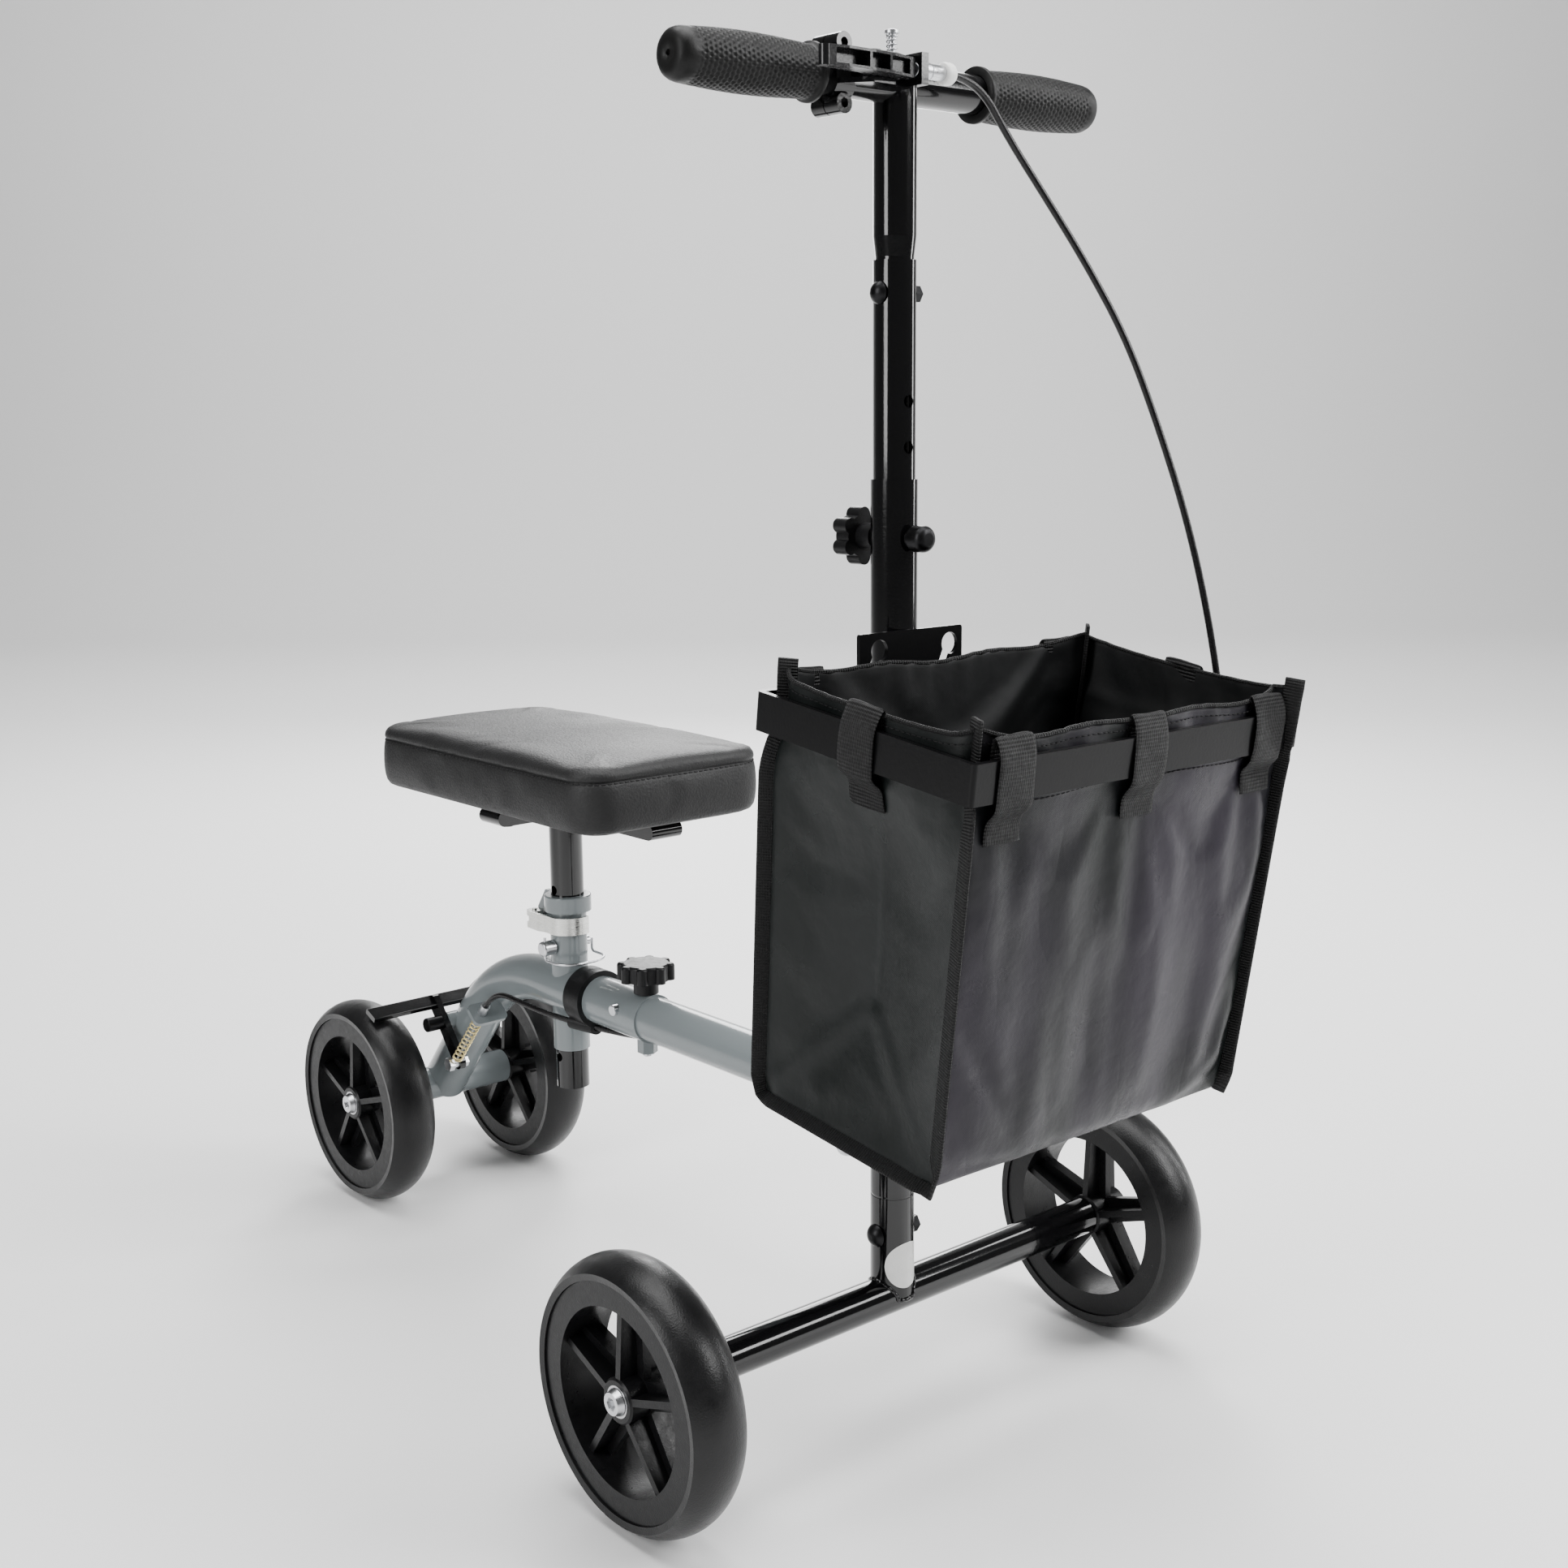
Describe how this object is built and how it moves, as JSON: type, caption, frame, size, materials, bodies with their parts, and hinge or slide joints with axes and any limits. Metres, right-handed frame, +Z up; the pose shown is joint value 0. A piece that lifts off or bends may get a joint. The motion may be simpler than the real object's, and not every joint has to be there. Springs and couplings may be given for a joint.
{
  "type": "knee scooter",
  "caption": "Steerable knee scooter with a height-adjustable knee pad and handlebar mast, hand brake on the rear wheels, and a soft basket on the steering column.",
  "frame": {"origin": "on the ground under the middle of the overall length, on the centre plane", "axes": "+X is forward, +Y to the rider's left, +Z up"},
  "size_m": [0.9543, 0.5046, 0.9623],
  "materials": {
    "grey_paint": "satin",
    "black_paint": "gloss",
    "tyre": "matte",
    "rim_plastic": "satin",
    "bearing_steel": "machined",
    "zinc_bolt": "zinc plated",
    "black_bolt": "black oxide",
    "black_plastic": "satin",
    "white_plastic": "gloss",
    "grip_rubber": "matte",
    "seat_vinyl": "fine grain vinyl",
    "plywood": "black-stained plywood",
    "bag_fabric": "woven nylon",
    "cable_housing": "satin",
    "wire_steel": "stranded steel",
    "spring_zinc": "yellow zinc"
  },
  "bodies": {
    "frame": {"rear_main_tube": "grey_paint", "seat_tube": "grey_paint", "rear_axle_tube": "grey_paint", "brake_brackets": "grey_paint", "tube_lock_nut": "grey_paint", "rear_axle_bolts": "zinc_bolt", "cable_band": "black_plastic", "seat_clamp_collar": "grey_paint", "seat_clamp_bolt": "zinc_bolt", "cable_stop": "zinc_bolt", "brake_pivot_bolt": "black_bolt", "sleeve_screw": "zinc_bolt", "front_main_tube": "grey_paint", "head_bushes": "black_plastic", "brake_cable": "cable_housing", "brake_wire": "wire_steel", "return_spring": "spring_zinc"},
    "rear_wheel_left": {"rear_tyre_left": "tyre", "rear_rim_left": "rim_plastic", "rear_bearings_left": "bearing_steel"},
    "rear_wheel_right": {"rear_tyre_right": "tyre", "rear_rim_right": "rim_plastic", "rear_bearings_right": "bearing_steel"},
    "column": {"front_axle": "black_paint", "column_tube": "black_paint", "steering_tabs": "black_paint", "steering_bolt": "zinc_bolt", "keyhole_plate": "black_paint", "stub_bolt": "black_bolt", "front_axle_bolts": "zinc_bolt", "mast_lock_bolt": "black_bolt"},
    "front_wheel_left": {"front_tyre_left": "tyre", "front_rim_left": "rim_plastic", "front_bearings_left": "bearing_steel"},
    "front_wheel_right": {"front_tyre_right": "tyre", "front_rim_right": "rim_plastic", "front_bearings_right": "bearing_steel"},
    "seat": {"seat_post": "black_paint", "seat_bracket": "black_paint", "seat_board": "plywood", "seat_screws": "black_bolt", "seat_pad": "seat_vinyl"},
    "clamp_lever": {"seat_clamp_lever": "zinc_bolt"},
    "seat_pin": {"seat_lock_pin": "zinc_bolt"},
    "pin_bail": {"seat_pin_bail": "zinc_bolt"},
    "frame_knob": {"frame_knob": "black_plastic", "frame_knob_stud": "zinc_bolt"},
    "mast_knob": {"mast_knob": "black_plastic"},
    "mast": {"mast_tube": "black_paint", "handlebar": "black_paint", "grips": "grip_rubber", "mast_bolt": "black_bolt", "brake_perch": "black_paint", "cable_adjuster": "white_plastic"},
    "brake_lever": {"brake_lever": "black_plastic"},
    "park_plunger": {"park_plunger": "zinc_bolt"},
    "brake_arm": {"brake_arm": "black_paint", "pinch_bolt": "zinc_bolt"},
    "basket": {"basket_frame": "black_paint", "bag": "bag_fabric"}
  },
  "joints": [
    {"name": "rear_left_spin", "type": "hinge", "parent": "frame", "child": "rear_wheel_left", "pos_m": [-0.382, 0.0835, 0.09525], "axis": [0, 1, 0], "continuous": true},
    {"name": "rear_right_spin", "type": "hinge", "parent": "frame", "child": "rear_wheel_right", "pos_m": [-0.382, -0.0835, 0.09525], "axis": [0, 1, 0], "continuous": true},
    {"name": "steering", "type": "hinge", "parent": "frame", "child": "column", "pos_m": [0.2015, 0, 0.237], "axis": [0, 0, 1], "range_deg": [-40, 40], "deforming": ["brake_cable"]},
    {"name": "front_left_spin", "type": "hinge", "parent": "column", "child": "front_wheel_left", "pos_m": [0.249, 0.2295, 0.09525], "axis": [0, 1, 0], "continuous": true},
    {"name": "front_right_spin", "type": "hinge", "parent": "column", "child": "front_wheel_right", "pos_m": [0.249, -0.2295, 0.09525], "axis": [0, 1, 0], "continuous": true},
    {"name": "seat_height", "type": "slide", "parent": "frame", "child": "seat", "axis": [0, 0, 1], "range_m": [-0.05, 0.1]},
    {"name": "clamp_release", "type": "hinge", "parent": "frame", "child": "clamp_lever", "pos_m": [-0.189, -0.0145, 0.3], "axis": [0, 0, -1], "range_deg": [0, 150]},
    {"name": "bail_swing", "type": "hinge", "parent": "seat_pin", "child": "pin_bail", "pos_m": [-0.159, -0.025, 0.277], "axis": [0, 0, -1], "range_deg": [0, 110]},
    {"name": "pin_pull", "type": "slide", "parent": "frame", "child": "seat_pin", "axis": [0, -1, 0], "range_m": [0, 0.045]},
    {"name": "frame_knob_turn", "type": "hinge", "parent": "frame", "child": "frame_knob", "pos_m": [-0.047, 0, 0.25], "axis": [0, 0, 1], "range_deg": [0, 540]},
    {"name": "mast_height", "type": "slide", "parent": "column", "child": "mast", "axis": [0, 0, 1], "range_m": [-0.09, 0.09], "deforming": ["brake_cable"]},
    {"name": "mast_knob_turn", "type": "hinge", "parent": "column", "child": "mast_knob", "pos_m": [0.249, 0, 0.644], "axis": [-1, 0, 0], "range_deg": [0, 540]},
    {"name": "brake_squeeze", "type": "hinge", "parent": "mast", "child": "brake_lever", "pos_m": [0.273, -0.042, 0.937], "axis": [0, 0, -1], "range_deg": [0, 19], "stiffness_Nm_per_rad": 0.8},
    {"name": "park_press", "type": "slide", "parent": "mast", "child": "park_plunger", "axis": [0, 0, -1], "range_m": [0, 0.005], "stiffness_N_per_m": 200},
    {"name": "brake_arm_swing", "type": "hinge", "parent": "frame", "child": "brake_arm", "pos_m": [-0.329, 0, 0.1726], "axis": [0, -1, 0], "range_deg": [0, 7.5], "deforming": ["brake_wire", "return_spring"]},
    {"name": "basket_lift", "type": "slide", "parent": "column", "child": "basket", "axis": [0, 0.4299, 0.9029], "range_m": [0, 0.0232]}
  ],
  "couplings": [
    {"joint": "pin_pull", "follows": "bail_swing", "m_per_rad": 0.023439},
    {"joint": "brake_arm_swing", "follows": "brake_squeeze", "ratio": 0.39}
  ]
}
